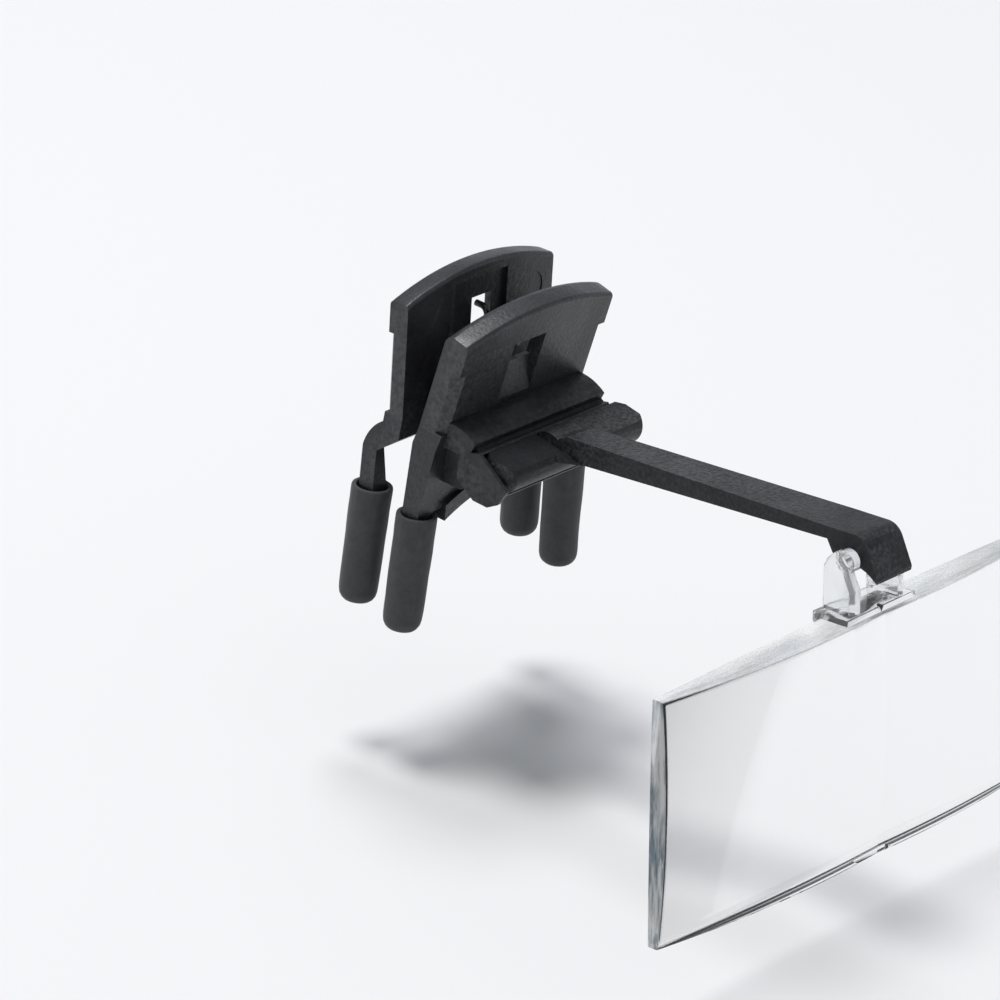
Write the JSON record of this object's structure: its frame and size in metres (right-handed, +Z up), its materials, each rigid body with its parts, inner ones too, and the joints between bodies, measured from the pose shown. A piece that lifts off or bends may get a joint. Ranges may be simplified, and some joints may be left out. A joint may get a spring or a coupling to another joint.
{
  "type": "clip on eyeglass loupe",
  "caption": "Sprung clip with rubber jaws for spectacles, carrying a flip-up arm and a clear rectangular twin magnifying lens that tilts at the arm's end.",
  "frame": {"origin": "middle of the jaw gap: between the front and rear sleeves, in the middle plane, at mid height of the sleeves", "axes": "X runs across the face along the hinge pin, -Y points forward from the spectacles along the arm, +Z runs up along the sleeves towards the finger paddles"},
  "size_m": [0.0738, 0.0724, 0.0507],
  "materials": {
    "clip_plastic": "black moulded plastic with a fine satin grain",
    "jaw_rubber": "soft charcoal rubber, matte",
    "clear_lens": "clear moulded acrylic, polished faces and edges",
    "steel": "plain steel pin, darkened spring wire"
  },
  "bodies": {
    "front_clip": {"front_lever": "clip_plastic", "hinge_cradle": "clip_plastic", "pivot_pin": "steel", "jaw_spring": "steel", "front_left_sleeve": "jaw_rubber", "front_right_sleeve": "jaw_rubber"},
    "rear_clip": {"rear_lever": "clip_plastic", "rear_left_sleeve": "jaw_rubber", "rear_right_sleeve": "jaw_rubber"},
    "arm": {"flip_arm": "clip_plastic"},
    "lens": {"loupe_lens": "clear_lens"}
  },
  "joints": [
    {"name": "jaw_hinge", "type": "hinge", "parent": "front_clip", "child": "rear_clip", "pos_m": [0, -0.00116, 0.0172], "axis": [1, 0, 0], "range_deg": [-4, 20], "stiffness_Nm_per_rad": 0.12, "springref_deg": -34.38, "deforming": ["jaw_spring"]},
    {"name": "flip_hinge", "type": "hinge", "parent": "front_clip", "child": "arm", "pos_m": [0, -0.013, 0.0158], "axis": [-1, 0, 0], "range_deg": [0, 70]},
    {"name": "lens_tilt", "type": "hinge", "parent": "arm", "child": "lens", "pos_m": [0, -0.0589, 0.0207], "axis": [1, 0, 0], "range_deg": [-30, 70]}
  ]
}
